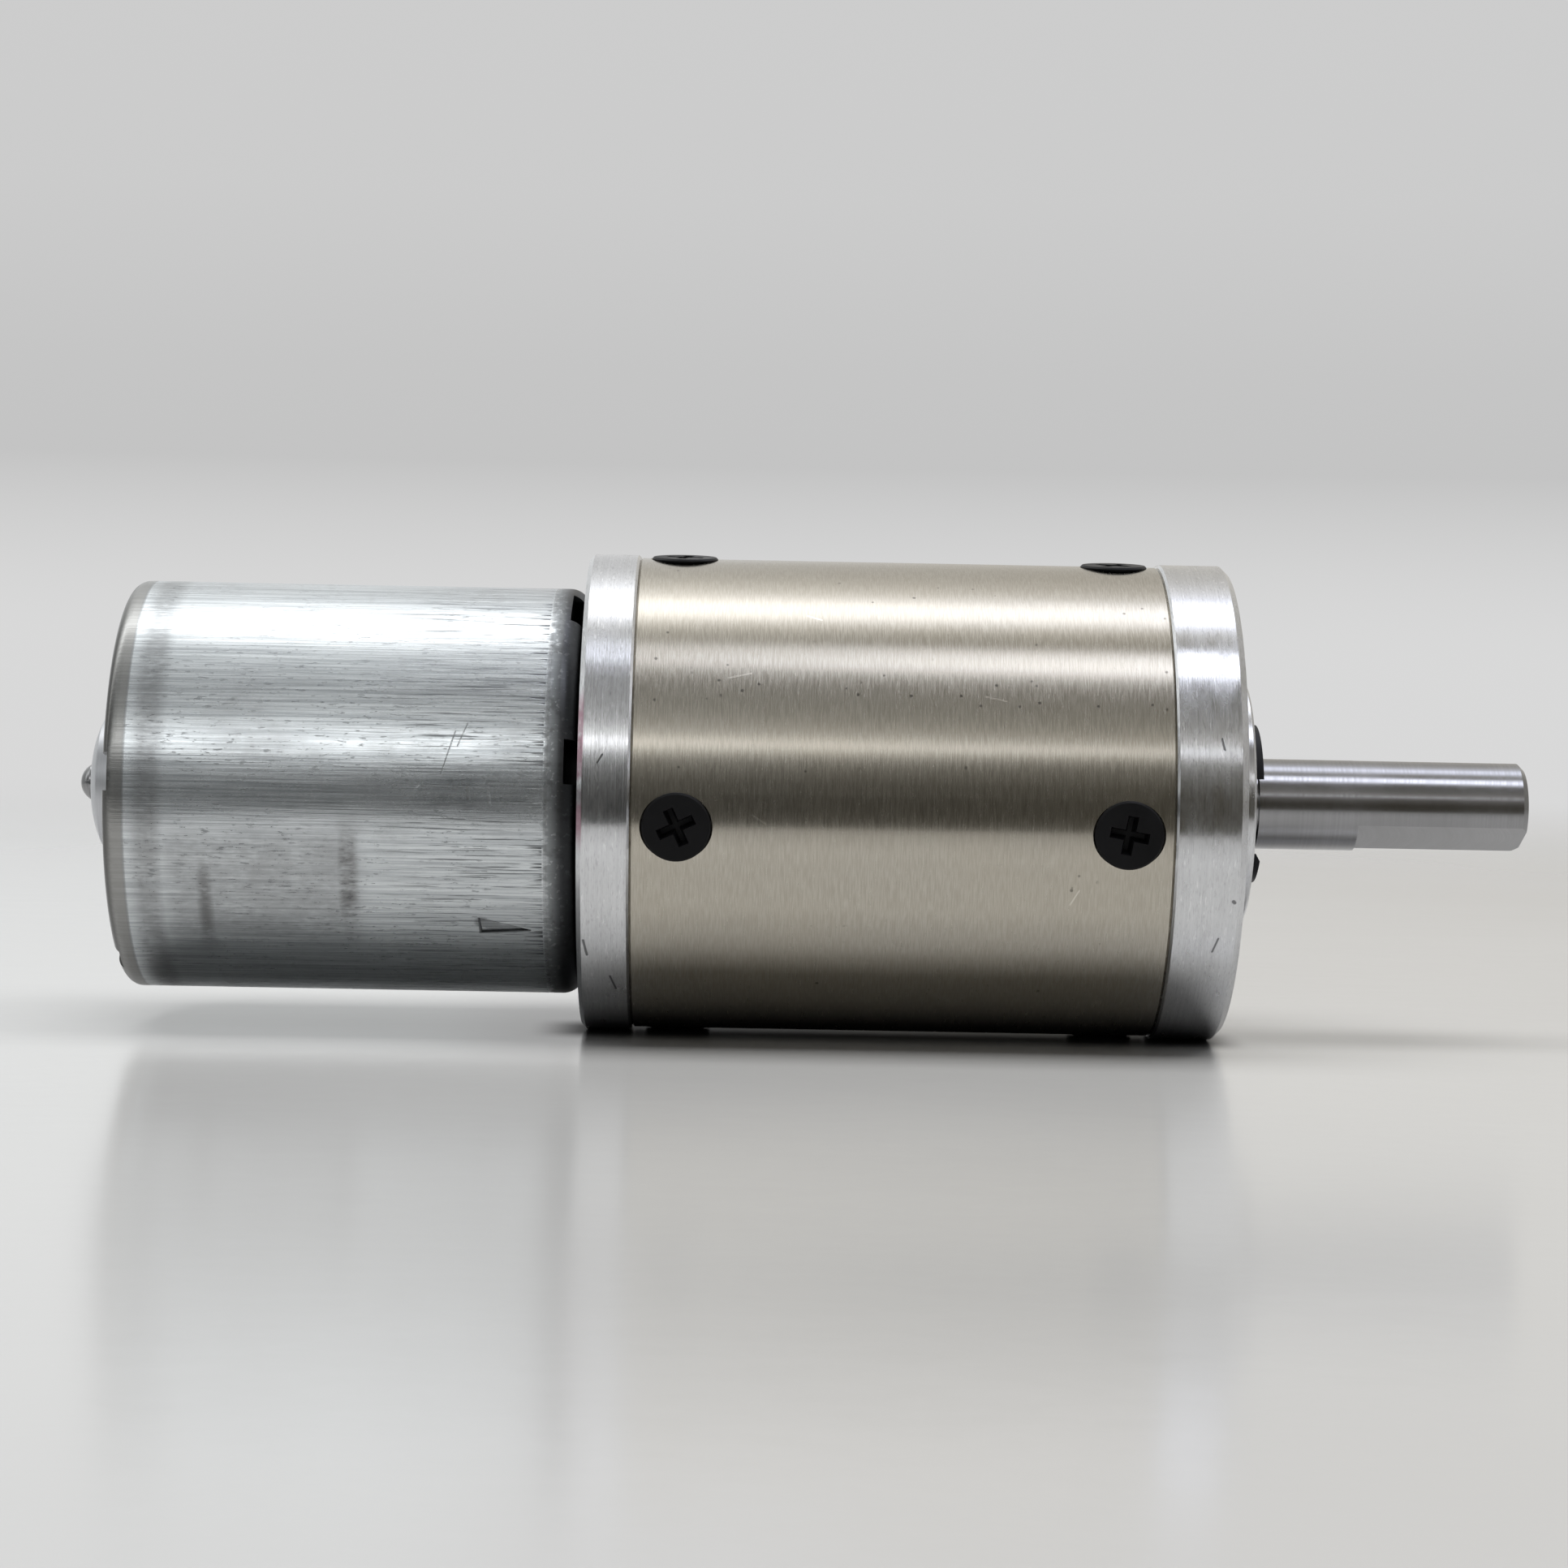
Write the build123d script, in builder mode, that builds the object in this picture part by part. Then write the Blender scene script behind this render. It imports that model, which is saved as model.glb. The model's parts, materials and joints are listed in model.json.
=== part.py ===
from build123d import *
from math import acos, asin, cos, pi, radians, sin, tan
import os

# A planetary gear motor: a two-stage planetary gearbox with a brushed motor on its input side.
# Millimetres. The axis of the whole unit is X. X = 0 is the face that the gearbox is fastened
# by, +X is the way that the output shaft points, and +Z is up when the unit lies on its side.
# Angles are turned about X, from +Y towards +Z.

# Gearbox shell
flange_d = 42.0
housing_d = 41.5
output_flange_t = 6.0
housing_len = 45.5
input_flange_t = 4.4
spigot_d = 35.0
spigot_len = 8.0
spigot_play = 0.02
pilot_d = 22.0
pilot_h = 2.0
front_chamfer = 0.6
edge_chamfer = 0.4
seam_chamfer = 0.2

# Mounting holes in the output face, tapped M4
mount_pcd = 32.0
mount_hole_d = 3.3
mount_hole_depth = 5.5

# Countersunk M3 screws through the housing into the two spigots
screw_d = 3.0
screw_len = 5.0
screw_head_d = 5.8
screw_head_rim = 0.25
screw_head_r = 20.95
screw_cross_w = 0.9
screw_cross_len = 3.3
screw_cross_depth = 1.2
screw_from_seam = 3.9
screw_first_angle = 5.6
screw_clearance = 0.1
screw_bevel = 0.15
screw_tip = 0.4
screw_cross_taper = 12.0
screw_hole_floor_r = 13.0
pan_head_d = 5.4
pan_head_h = 1.9
pan_head_fillet = 0.8
input_cross_turn = 25.0
output_cross_turn = -10.0

# Gears: every wheel has the same module, and both stages share the ring gear
module = 0.6
pressure_angle = radians(20)
ring_teeth = 54
sun_teeth = 18
planet_teeth = 18
planets = 3
backlash = 0.07
ring_addendum = 0.75
gear_addendum = 1.0
dedendum = 1.25
first_stage_angle = 90.0
second_stage_angle = 30.0
first_planet_w = 7.0
second_planet_w = 11.0
first_pin_d = 3.0
second_pin_d = 4.0
pin_play = 0.04
carrier_d = 30.4
first_carrier_t = 3.0
output_carrier_t = 5.0
wear_plate_t = 0.5
wear_plate_bore_d = 14.0
wear_plate_play = 0.3
thrust_washer_t = 0.3
thrust_washer_play = 0.05
thrust_washer_margin = 0.6
end_play = 0.2
sun_shank_d = 8.0
carrier_boss_wall = 1.4

# Output shaft, its two ball bearings (8 x 19 x 6) and what holds it in
shaft_d = 8.0
shaft_reach = 27.0
shaft_chamfer = 0.5
hub_ease = 0.01
flat_len = 15.0
flat_height = 3.0
flat_angle = 245.0
bearing_d = 19.0
bearing_w = 6.0
front_bearing_recess = 0.4
bearing_shoulder_w = 3.0
bearing_shoulder_d = 16.0
ball_d = 3.0
balls_in_bearing = 7
ball_circle_d = 13.5
ball_play = 0.05
cage_t = 0.6
cage_rim = 0.5
bearing_land = 1.2
shield_recess = 0.6
shield_t = 0.3
shield_gap = 0.15
clip_d = 14.0
clip_t = 0.7
clip_x = 2.5
clip_groove_d = 7.0
clip_play = 0.05
clip_opening_angle = 192.0
clip_rim = 2.0
clip_lug_w = 2.4
clip_lug_lap = 0.6
clip_mouth_play = 0.4
shim_t = 0.8
shim_d = 11.0

# Motor
motor_d = 35.8
motor_len = 40.0
can_wall = 1.6
can_front_radius = 1.8
can_rear_radius = 1.2
rim_lip = 0.7
rim_lip_t = 0.5
boss_d = 13.0
boss_h = 3.5
boss_play = 0.05
boss_lip_t = 0.7
boss_lip_r = 2.2
motor_shaft_d = 3.175
bush_d = 7.0
bush_play = 0.02
bush_len = 4.5
rim_notches = [(169.4, 180.0), (233.0, 243.0), (349.4, 360.0), (53.0, 63.0)]
front_vents = [(163.6, 176.0), (104.5, 122.4), (343.6, 356.0), (284.5, 302.4)]
vent_back = 1.3
vent_inner_r = 13.3
stamp_x = -64.3
stamp_angle = 218.0
stamp_depth = 0.18
stamp_shape = [(0.0, 0.85), (0.2, -0.8), (4.4, -0.43)]
rear_boss_d = 11.6
rear_boss_h = 3.6
rear_shaft_reach = 4.9
rear_boss_lip_r = 1.8
rear_boss_lip_t = 0.6
rear_boss_flare = 1.2
rear_boss_round = (4.4, 0.4)
rear_boss_side = 1.0
cap_t = 1.5
cap_play = 0.02
rear_tip_radius = 1.8
motor_screw_pcd = 25.0
motor_screw_reach = 3.0
motor_seat_t = 4.2
pinion_behind_plate = 2.5
shaft_end_gap = 0.3
armature_slots = 5
armature_r = 11.2
armature_len = 20.0
magnet_r = 11.6
magnet_len = 24.0
magnet_gap = 4.1
magnet_half_angle = 62.0
magnet_spring_t = 0.5
magnet_spring_inset = 6.0
magnet_spring_half_angle = 28.0
arm_w = 3.2
armature_hub_r = 4.6
shoe_r = 9.6
slot_mouth = 1.8
coil_inner = 5.4
coil_outer = 9.0
coil_t = 1.45
coil_corner = 0.8
coil_play = 0.1
commutator_len = 6.0
commutator_gap = 0.9
commutator_inner = 3.4
commutator_outer = 4.3
segment_half_angle = 33.0
spacer_r = 2.9
spacer_gap = 0.3
terminal_angles = (-43, 43)
terminal_r = 11.8
terminal_w = 2.8
terminal_t = 0.5
terminal_reach = 4.0
eyelet_r = 0.6
eyelet_reach = 2.6
insulator_w = 4.6
insulator_t = 2.2
insulator_rim = 0.6
brush_angles = (90, 270)
brush_w = 4.0
brush_t = 3.0
brush_play = 0.1
brush_gap = 1.2
brush_inner = 4.4
brush_outer = 9.4
brush_plate_t = 1.2
brush_plate_play = 0.3
guide_start = 5.4
guide_end = 12.4
guide_wall = 1.0
guide_end_wall = 0.9
brush_spring_outer = 1.35
brush_spring_inner = 0.95

# Lap of one shape into another where they are cut or joined
lap = 1.0

# Places along the axis
housing_front = -output_flange_t
housing_back = housing_front - housing_len
input_back = housing_back - input_flange_t
motor_back = input_back - motor_len
spigot_front = housing_front - spigot_len
spigot_back = housing_back + spigot_len
output_screw_x = housing_front - screw_from_seam
input_screw_x = housing_back + screw_from_seam

planet_orbit = module * (sun_teeth + planet_teeth) / 2
planet_root = module * (planet_teeth / 2 - dedendum)
planet_tip = module * (planet_teeth / 2 + gear_addendum)
sun_root = module * (sun_teeth / 2 - dedendum)
sun_tip = module * (sun_teeth / 2 + gear_addendum)
ring_root = module * (ring_teeth / 2 + dedendum)
ring_tip = module * (ring_teeth / 2 - ring_addendum)

wear_plate_front = spigot_back + wear_plate_t
first_planet_x = wear_plate_front + end_play
first_carrier_x = first_planet_x + first_planet_w + thrust_washer_t
first_carrier_front = first_carrier_x + first_carrier_t
second_planet_x = first_carrier_front + 2 * end_play
output_carrier_x = second_planet_x + second_planet_w + thrust_washer_t
output_carrier_front = output_carrier_x + output_carrier_t
front_bearing_x = pilot_h - front_bearing_recess - bearing_w / 2
rear_bearing_x = front_bearing_x - bearing_w - bearing_shoulder_w
sun_bore_end = first_carrier_x - 3 * end_play
pinion_x = spigot_back - pinion_behind_plate
shaft_front = sun_bore_end - shaft_end_gap
motor_face = input_back + motor_seat_t
can_floor = input_back - can_wall
front_bush_end = input_back + boss_h - boss_lip_t
cap_seat = motor_back + rim_lip_t
cap_front = cap_seat + cap_t
rear_boss_x = motor_back - rear_boss_h
rear_bush_end = rear_boss_x + rear_boss_lip_t
rear_tip = motor_back - rear_shaft_reach
magnet_x = input_back - magnet_gap - magnet_len
core_x = magnet_x + (magnet_len - armature_len) / 2
commutator_x = core_x - coil_t - commutator_gap - commutator_len
brush_x = commutator_x + brush_gap + brush_t / 2
guide_front = brush_x + brush_t / 2 + guide_end_wall

# Radii used by more than one part
flange_r = flange_d / 2
spigot_r = spigot_d / 2 - spigot_play
shaft_r = shaft_d / 2
groove_r = clip_groove_d / 2
can_r = motor_d / 2
can_bore = can_r - can_wall
cap_r = can_bore - cap_play
rear_boss_r = rear_boss_d / 2
motor_shaft_r = motor_shaft_d / 2
half_slot = 180 / armature_slots


def polar(radius, angle):
    """Point in a plane across the axis, at a radius and an angle in radians."""
    return (radius * cos(angle), radius * sin(angle))


def involute(angle):
    """The involute function of an angle in radians."""
    return tan(angle) - angle


def gear_face(teeth, root_r, tip_r, thickening):
    """Outline of a gear with involute flanks. A ring gear's hole has the same outline."""
    pitch_r = module * teeth / 2
    base_r = pitch_r * cos(pressure_angle)
    flank_r = max(base_r, root_r)
    middle_r = (flank_r + tip_r) / 2
    at_pitch = pi / (2 * teeth) + thickening / (2 * pitch_r) + involute(pressure_angle)

    def half_tooth(radius):
        return at_pitch - involute(acos(min(base_r / radius, 1)))

    with BuildSketch() as face:
        with BuildLine():
            for n in range(teeth):
                middle = 2 * pi * n / teeth
                gap = middle - pi / teeth
                foot = half_tooth(flank_r)
                side = half_tooth(middle_r)
                crest = half_tooth(tip_r)
                last_foot = middle - 2 * pi / teeth + foot
                ThreePointArc(
                    polar(root_r, last_foot), polar(root_r, gap), polar(root_r, middle - foot)
                )
                if flank_r > root_r:
                    Line(polar(root_r, middle - foot), polar(flank_r, middle - foot))
                    Line(polar(root_r, middle + foot), polar(flank_r, middle + foot))
                ThreePointArc(
                    polar(flank_r, middle - foot),
                    polar(middle_r, middle - side),
                    polar(tip_r, middle - crest),
                )
                ThreePointArc(
                    polar(tip_r, middle - crest), polar(tip_r, middle), polar(tip_r, middle + crest)
                )
                ThreePointArc(
                    polar(tip_r, middle + crest),
                    polar(middle_r, middle + side),
                    polar(flank_r, middle + foot),
                )
        make_face()
    return face.sketch


def planet_turn(angle):
    """How far, in degrees, a planet at an angle is turned so that it meshes with the ring."""
    return angle * (1 - ring_teeth / planet_teeth)


def sun_turn(angle):
    """How far, in degrees, a sun is turned so that it meshes with a planet at an angle."""
    return (angle * (sun_teeth + ring_teeth) + 180 * (planet_teeth - 1)) / sun_teeth


def facing_out(x, radius, angle):
    """Plane at a radius and an angle in degrees round the axis, facing away from the axis."""
    across = polar(1, radians(angle))
    return Plane(
        origin=(x, radius * across[0], radius * across[1]),
        x_dir=(1, 0, 0),
        z_dir=(0, across[0], across[1]),
    )


def sector(inner_r, outer_r, start, end):
    """Piece of a ring between two angles in degrees."""
    a, b = radians(start), radians(end)
    with BuildSketch() as face:
        with BuildLine():
            Line(polar(inner_r, a), polar(outer_r, a))
            ThreePointArc(polar(outer_r, a), polar(outer_r, (a + b) / 2), polar(outer_r, b))
            Line(polar(outer_r, b), polar(inner_r, b))
            ThreePointArc(polar(inner_r, b), polar(inner_r, (a + b) / 2), polar(inner_r, a))
        make_face()
    return face.sketch


def countersunk_screw():
    """Cross-recessed countersunk screw, its head's top at the origin and its shank down -Z."""
    head_r = screw_head_d / 2
    shank_r = screw_d / 2 - spigot_play
    neck = -screw_head_rim - (head_r - shank_r)
    with BuildPart() as screw:
        with BuildSketch(Plane.XZ):
            with BuildLine():
                Polyline(
                    (0, 0),
                    (head_r - screw_bevel, 0),
                    (head_r, -screw_bevel),
                    (head_r, -screw_head_rim),
                    (shank_r, neck),
                    (shank_r, screw_tip - screw_len),
                    (shank_r - screw_tip, -screw_len),
                    (0, -screw_len),
                    close=True,
                )
            make_face()
        revolve(axis=Axis.Z)
        with BuildSketch():
            Rectangle(screw_cross_len, screw_cross_w)
            Rectangle(screw_cross_w, screw_cross_len)
        extrude(amount=-screw_cross_depth, taper=screw_cross_taper, mode=Mode.SUBTRACT)
    return screw.part


def pan_screw(length):
    """Pan-head screw, the underside of its head at the origin and its shank down -Z."""
    with BuildPart() as screw:
        with BuildSketch():
            Circle(pan_head_d / 2)
        extrude(amount=pan_head_h)
        fillet(screw.edges().sort_by(Axis.Z)[-1], pan_head_fillet)
        with BuildSketch(Plane.XY.offset(pan_head_h)):
            Rectangle(screw_cross_len, screw_cross_w)
            Rectangle(screw_cross_w, screw_cross_len)
        extrude(amount=-screw_cross_depth, mode=Mode.SUBTRACT)
        with BuildSketch():
            Circle(screw_d / 2 - spigot_play)
        extrude(amount=-length)
    return screw.part


planet_face = gear_face(planet_teeth, planet_root, planet_tip, -backlash)
sun_face = gear_face(sun_teeth, sun_root, sun_tip, -backlash)
ring_hole = gear_face(ring_teeth, ring_tip, ring_root, backlash)
screw_angles = [screw_first_angle + 90 * n for n in range(4)]

# ---- Ring gear housing: a tube with the ring gear's teeth along its middle ----
with BuildPart() as ring_gear_housing:
    with BuildSketch(Plane.XZ):
        with BuildLine():
            Polyline(
                (housing_back, ring_tip - lap),
                (housing_back, housing_d / 2 - seam_chamfer),
                (housing_back + seam_chamfer, housing_d / 2),
                (housing_front - seam_chamfer, housing_d / 2),
                (housing_front, housing_d / 2 - seam_chamfer),
                (housing_front, ring_tip - lap),
                close=True,
            )
        make_face()
    revolve(axis=Axis.X)
    with BuildSketch(Plane.YZ.offset(housing_back)):
        add(ring_hole)
    extrude(amount=housing_len, mode=Mode.SUBTRACT)
    for seat_x in (housing_back, spigot_front):
        with BuildSketch(Plane.YZ.offset(seat_x)):
            Circle(spigot_d / 2)
        extrude(amount=spigot_len, mode=Mode.SUBTRACT)
    for screw_x in (input_screw_x, output_screw_x):
        for angle in screw_angles:
            with Locations(facing_out(screw_x, screw_head_r, angle)):
                CounterSinkHole(
                    radius=screw_d / 2 + screw_clearance,
                    counter_sink_radius=screw_head_d / 2 + screw_head_rim + screw_clearance,
                    depth=screw_len,
                    counter_sink_angle=90,
                )
ring_gear_housing.part.label = "ring_gear_housing"
export_step(ring_gear_housing.part, "parts/ring_gear_housing.step")

# ---- Output flange: mounting face, pilot, bearing seats and the front spigot ----
with BuildPart() as output_flange:
    with BuildSketch(Plane.XZ):
        with BuildLine():
            Polyline(
                (spigot_front, bearing_shoulder_d / 2),
                (spigot_front, spigot_r - edge_chamfer),
                (spigot_front + edge_chamfer, spigot_r),
                (housing_front, spigot_r),
                (housing_front, flange_r - seam_chamfer),
                (housing_front + seam_chamfer, flange_r),
                (-front_chamfer, flange_r),
                (0, flange_r - front_chamfer),
                (0, pilot_d / 2),
                (pilot_h - seam_chamfer, pilot_d / 2),
                (pilot_h, pilot_d / 2 - seam_chamfer),
                (pilot_h, bearing_shoulder_d / 2),
                close=True,
            )
        make_face()
    revolve(axis=Axis.X)
    with BuildSketch(Plane.YZ.offset(front_bearing_x - bearing_w / 2)):
        Circle(bearing_d / 2)
    extrude(amount=bearing_w + front_bearing_recess, mode=Mode.SUBTRACT)
    with BuildSketch(Plane.YZ.offset(rear_bearing_x + bearing_w / 2)):
        Circle(bearing_d / 2)
    extrude(until=Until.LAST, dir=(-1, 0, 0), mode=Mode.SUBTRACT)
    with BuildSketch(Plane.YZ):
        with PolarLocations(mount_pcd / 2, 4, start_angle=45 + screw_first_angle):
            Circle(mount_hole_d / 2)
    extrude(amount=-mount_hole_depth, mode=Mode.SUBTRACT)
    for angle in screw_angles:
        with Locations(facing_out(output_screw_x, spigot_r + lap, angle)):
            Hole(radius=screw_d / 2, depth=spigot_r + lap - screw_hole_floor_r)
output_flange.part.label = "output_flange"
export_step(output_flange.part, "parts/output_flange.step")

# ---- Input flange: carries the motor, and its spigot closes the back of the ring gear ----
with BuildPart() as input_flange:
    with BuildSketch(Plane.XZ):
        with BuildLine():
            Polyline(
                (input_back, boss_d / 2 + boss_play),
                (input_back, flange_r - edge_chamfer),
                (input_back + edge_chamfer, flange_r),
                (housing_back - seam_chamfer, flange_r),
                (housing_back, flange_r - seam_chamfer),
                (housing_back, spigot_r),
                (spigot_back - edge_chamfer, spigot_r),
                (spigot_back, spigot_r - edge_chamfer),
                (spigot_back, boss_d / 2 + boss_play),
                close=True,
            )
        make_face()
    revolve(axis=Axis.X)
    with BuildSketch(Plane.YZ.offset(motor_face)):
        with PolarLocations(motor_screw_pcd / 2, 2, start_angle=45 + screw_first_angle):
            Circle(screw_head_d / 2 + screw_clearance)
    extrude(until=Until.LAST, mode=Mode.SUBTRACT)
    with BuildSketch(Plane.YZ.offset(motor_face)):
        with PolarLocations(motor_screw_pcd / 2, 2, start_angle=45 + screw_first_angle):
            Circle(screw_d / 2 + screw_clearance)
    extrude(amount=-motor_seat_t - lap, mode=Mode.SUBTRACT)
    for angle in screw_angles:
        with Locations(facing_out(input_screw_x, spigot_r + lap, angle)):
            Hole(radius=screw_d / 2, depth=spigot_r + lap - screw_hole_floor_r)
input_flange.part.label = "input_flange"
export_step(input_flange.part, "parts/input_flange.step")

# ---- Screws ----
flange_screw = countersunk_screw()
with BuildPart() as input_flange_screws:
    for n, angle in enumerate(screw_angles):
        with Locations(facing_out(input_screw_x, screw_head_r, angle)):
            add(flange_screw, rotation=(0, 0, input_cross_turn + 40 * (n - 2)))
input_flange_screws.part.label = "input_flange_screws"
export_step(input_flange_screws.part, "parts/input_flange_screws.step")

with BuildPart() as output_flange_screws:
    for n, angle in enumerate(screw_angles):
        with Locations(facing_out(output_screw_x, screw_head_r, angle)):
            add(flange_screw, rotation=(0, 0, output_cross_turn + 25 * (n - 2)))
output_flange_screws.part.label = "output_flange_screws"
export_step(output_flange_screws.part, "parts/output_flange_screws.step")

motor_screw = pan_screw(motor_seat_t + motor_screw_reach)
with BuildPart(Plane.YZ.offset(motor_face)) as motor_mount_screws:
    with PolarLocations(motor_screw_pcd / 2, 2, start_angle=45 + screw_first_angle):
        add(motor_screw)
motor_mount_screws.part.label = "motor_mount_screws"
export_step(motor_mount_screws.part, "parts/motor_mount_screws.step")

# ---- Wear plate: a steel washer that the first planets' ends run on ----
with BuildPart() as wear_plate:
    with BuildSketch(Plane.YZ.offset(spigot_back)):
        Circle(ring_tip - wear_plate_play)
        Circle(wear_plate_bore_d / 2, mode=Mode.SUBTRACT)
    extrude(amount=wear_plate_t)
wear_plate.part.label = "wear_plate"
export_step(wear_plate.part, "parts/wear_plate.step")

# ---- Planets ----
for n in range(planets):
    place = first_stage_angle + 360 * n / planets
    with BuildPart() as first_planet:
        with BuildSketch(Plane.YZ.offset(first_planet_x)):
            with Locations(polar(planet_orbit, radians(place))):
                add(planet_face, rotation=planet_turn(place))
                Circle(first_pin_d / 2 + pin_play, mode=Mode.SUBTRACT)
        extrude(amount=first_planet_w)
    first_planet.part.label = f"first_planet_{n + 1}"
    export_step(first_planet.part, f"parts/first_planet_{n + 1}.step")

    place = second_stage_angle + 360 * n / planets
    with BuildPart() as second_planet:
        with BuildSketch(Plane.YZ.offset(second_planet_x)):
            with Locations(polar(planet_orbit, radians(place))):
                add(planet_face, rotation=planet_turn(place))
                Circle(second_pin_d / 2 + pin_play, mode=Mode.SUBTRACT)
        extrude(amount=second_planet_w)
    second_planet.part.label = f"second_planet_{n + 1}"
    export_step(second_planet.part, f"parts/second_planet_{n + 1}.step")

# ---- First carrier with its pins and thrust washers, and the second sun pressed into it ----
with BuildPart(Plane.YZ.offset(first_carrier_x)) as first_carrier:
    Cylinder(carrier_d / 2, first_carrier_t, align=(Align.CENTER, Align.CENTER, Align.MIN))
    chamfer(first_carrier.edges().filter_by(GeomType.CIRCLE), edge_chamfer)
    with BuildSketch(Plane.YZ.offset(first_carrier_x)):
        Circle(sun_shank_d / 2)
        with PolarLocations(planet_orbit, planets, start_angle=first_stage_angle):
            Circle(first_pin_d / 2)
    extrude(amount=first_carrier_t, mode=Mode.SUBTRACT)
first_carrier.part.label = "first_carrier"
export_step(first_carrier.part, "parts/first_carrier.step")

with BuildPart() as first_carrier_pins:
    with BuildSketch(Plane.YZ.offset(first_planet_x)):
        with PolarLocations(planet_orbit, planets, start_angle=first_stage_angle):
            Circle(first_pin_d / 2)
    extrude(amount=first_carrier_front - first_planet_x)
first_carrier_pins.part.label = "first_carrier_pins"
export_step(first_carrier_pins.part, "parts/first_carrier_pins.step")

with BuildPart() as first_thrust_washers:
    with BuildSketch(Plane.YZ.offset(first_carrier_x - thrust_washer_t + thrust_washer_play)):
        with PolarLocations(planet_orbit, planets, start_angle=first_stage_angle):
            Circle(planet_root - thrust_washer_margin)
            Circle(first_pin_d / 2 + pin_play, mode=Mode.SUBTRACT)
    extrude(amount=thrust_washer_t - thrust_washer_play)
first_thrust_washers.part.label = "first_thrust_washers"
export_step(first_thrust_washers.part, "parts/first_thrust_washers.step")

with BuildPart() as second_sun:
    with BuildSketch(Plane.YZ.offset(first_carrier_x)):
        Circle(sun_shank_d / 2)
    extrude(amount=first_carrier_t)
    with BuildSketch(Plane.YZ.offset(first_carrier_front)):
        add(sun_face, rotation=sun_turn(second_stage_angle))
    extrude(amount=second_planet_w + end_play)
second_sun.part.label = "second_sun"
export_step(second_sun.part, "parts/second_sun.step")

# ---- Output carrier with its pins and thrust washers ----
with BuildPart(Plane.YZ.offset(output_carrier_x)) as output_carrier:
    Cylinder(carrier_d / 2, output_carrier_t, align=(Align.CENTER, Align.CENTER, Align.MIN))
    chamfer(output_carrier.edges().filter_by(GeomType.CIRCLE), edge_chamfer)
    with BuildSketch(Plane.YZ.offset(output_carrier_front)):
        Circle(shaft_d / 2 + carrier_boss_wall)
    extrude(amount=rear_bearing_x - bearing_w / 2 - output_carrier_front)
    with BuildSketch(Plane.YZ.offset(output_carrier_x)):
        Circle(shaft_d / 2)
    extrude(until=Until.LAST, mode=Mode.SUBTRACT)
    with BuildSketch(Plane.YZ.offset(output_carrier_x)):
        with PolarLocations(planet_orbit, planets, start_angle=second_stage_angle):
            Circle(second_pin_d / 2)
    extrude(amount=output_carrier_t, mode=Mode.SUBTRACT)
output_carrier.part.label = "output_carrier"
export_step(output_carrier.part, "parts/output_carrier.step")

with BuildPart() as output_carrier_pins:
    with BuildSketch(Plane.YZ.offset(second_planet_x)):
        with PolarLocations(planet_orbit, planets, start_angle=second_stage_angle):
            Circle(second_pin_d / 2)
    extrude(amount=output_carrier_front - second_planet_x)
output_carrier_pins.part.label = "output_carrier_pins"
export_step(output_carrier_pins.part, "parts/output_carrier_pins.step")

with BuildPart() as second_thrust_washers:
    with BuildSketch(Plane.YZ.offset(output_carrier_x - thrust_washer_t + thrust_washer_play)):
        with PolarLocations(planet_orbit, planets, start_angle=second_stage_angle):
            Circle(planet_root - thrust_washer_margin)
            Circle(second_pin_d / 2 + pin_play, mode=Mode.SUBTRACT)
    extrude(amount=thrust_washer_t - thrust_washer_play)
second_thrust_washers.part.label = "second_thrust_washers"
export_step(second_thrust_washers.part, "parts/second_thrust_washers.step")

# ---- Output shaft: pressed into the carrier, with a clip groove and a D-shaped end ----
with BuildPart() as output_shaft:
    end_r = shaft_r - hub_ease
    flat_x = shaft_reach - flat_len
    flat_half = acos(flat_height / end_r)
    flat_middle = radians(flat_angle)
    with BuildSketch(Plane.YZ.offset(flat_x)):
        with BuildLine():
            ThreePointArc(
                polar(end_r, flat_middle + flat_half),
                polar(end_r, flat_middle + pi),
                polar(end_r, flat_middle - flat_half),
            )
            Line(
                polar(end_r, flat_middle - flat_half), polar(end_r, flat_middle + flat_half)
            )
        make_face()
    extrude(amount=flat_len)
    end_edge = output_shaft.edges().filter_by(GeomType.CIRCLE).sort_by(Axis.X)[-1]
    chamfer(end_edge, shaft_chamfer)
    with BuildSketch(Plane.XZ):
        with BuildLine():
            Polyline(
                (output_carrier_x, 0),
                (output_carrier_x, shaft_r),
                (clip_x - clip_play, shaft_r),
                (clip_x - clip_play, groove_r),
                (clip_x + clip_t + clip_play, groove_r),
                (clip_x + clip_t + clip_play, shaft_r),
                (flat_x, shaft_r),
                (flat_x, 0),
                close=True,
            )
        make_face()
    revolve(axis=Axis.X)
output_shaft.part.label = "output_shaft"
export_step(output_shaft.part, "parts/output_shaft.step")

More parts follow.
